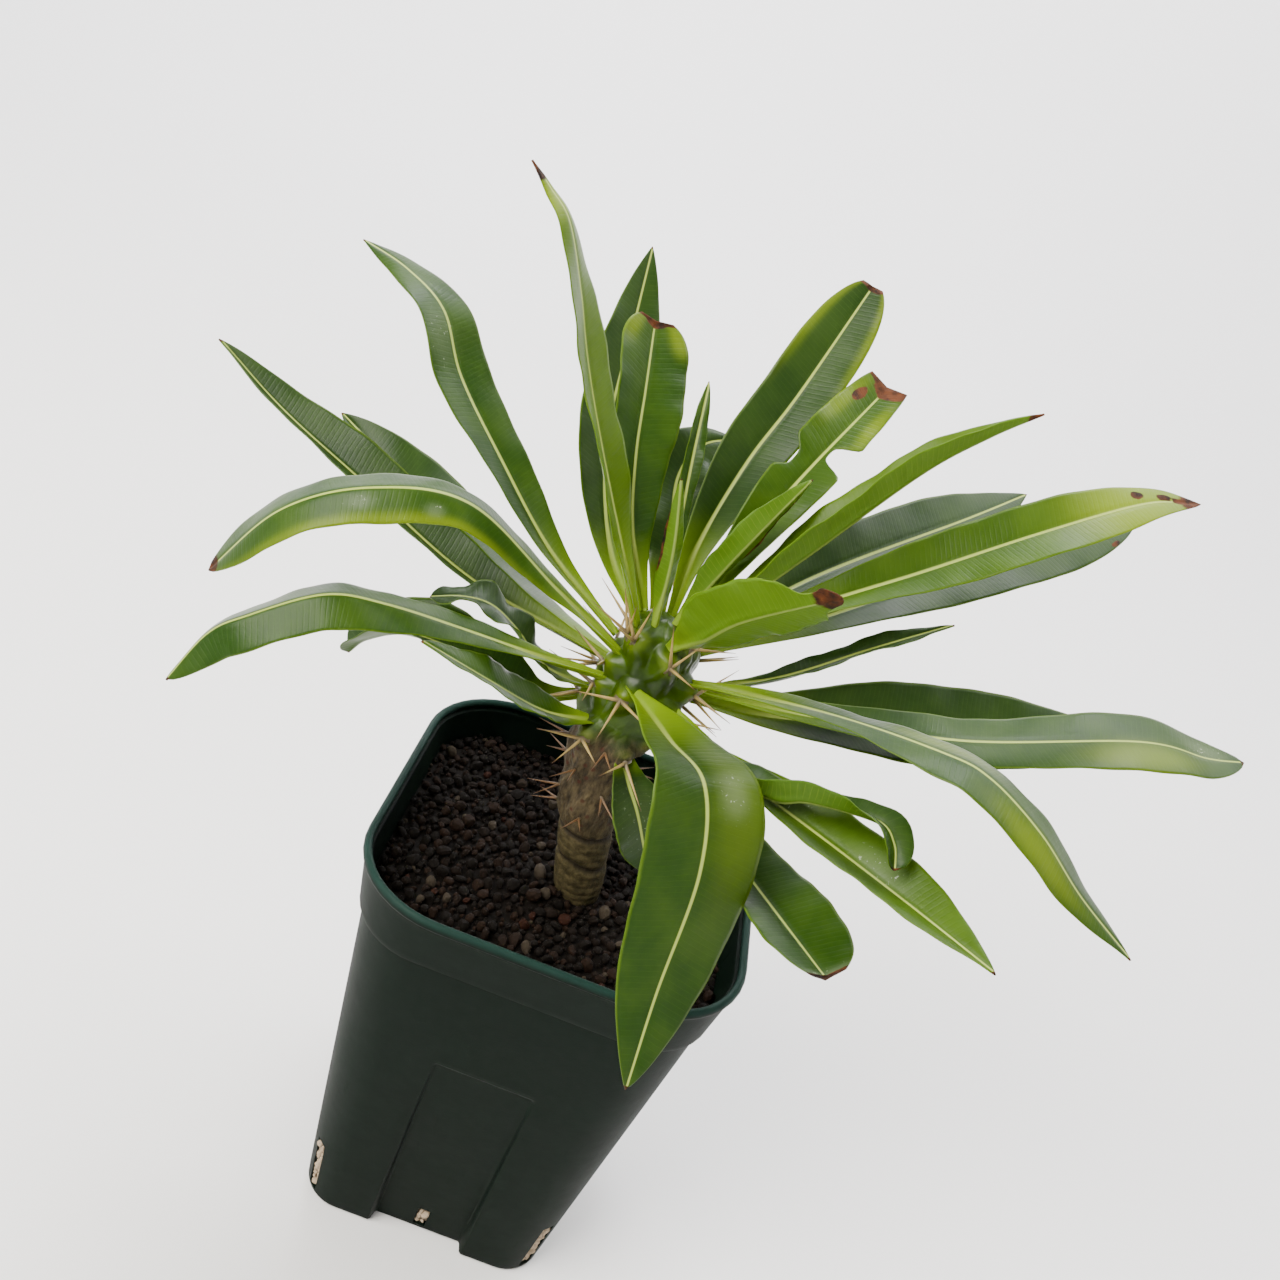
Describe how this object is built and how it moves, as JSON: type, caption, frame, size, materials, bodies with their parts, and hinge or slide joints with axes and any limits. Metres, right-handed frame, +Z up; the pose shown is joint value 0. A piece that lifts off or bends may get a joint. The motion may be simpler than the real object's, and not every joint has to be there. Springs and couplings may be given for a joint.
{
  "type": "potted succulent",
  "caption": "Spiny caudiciform succulent with a rosette of long arching leaves on a short stem, in a square tapered nursery pot filled with mineral soil.",
  "frame": {"origin": "middle of the pot's underside", "axes": "+Z up along the pot's axis, -Y out of the side that faces the viewer, +X to the viewer's right; every side of the pot is square to X or Y"},
  "size_m": [0.2894, 0.177, 0.2983],
  "materials": {
    "pot": "satin",
    "grit": "rough",
    "soil": "rough",
    "stem": "rough",
    "leaf": "satin"
  },
  "bodies": {
    "root": {"pot": "pot", "drainage_grit": "grit", "soil": "soil", "stem": "stem", "leaf_01": "leaf", "leaf_02": "leaf", "leaf_03": "leaf", "leaf_04": "leaf", "leaf_05": "leaf", "leaf_06": "leaf", "leaf_07": "leaf", "leaf_08": "leaf", "leaf_09": "leaf", "leaf_10": "leaf", "leaf_11": "leaf", "leaf_12": "leaf", "leaf_13": "leaf", "leaf_14": "leaf", "leaf_15": "leaf", "leaf_16": "leaf", "leaf_17": "leaf", "leaf_18": "leaf", "leaf_19": "leaf", "leaf_20": "leaf", "leaf_21": "leaf", "leaf_22": "leaf", "leaf_23": "leaf", "leaf_24": "leaf", "leaf_25": "leaf", "leaf_26": "leaf", "leaf_27": "leaf", "leaf_28": "leaf", "leaf_29": "leaf", "leaf_30": "leaf", "leaf_31": "leaf"}
  },
  "joints": []
}
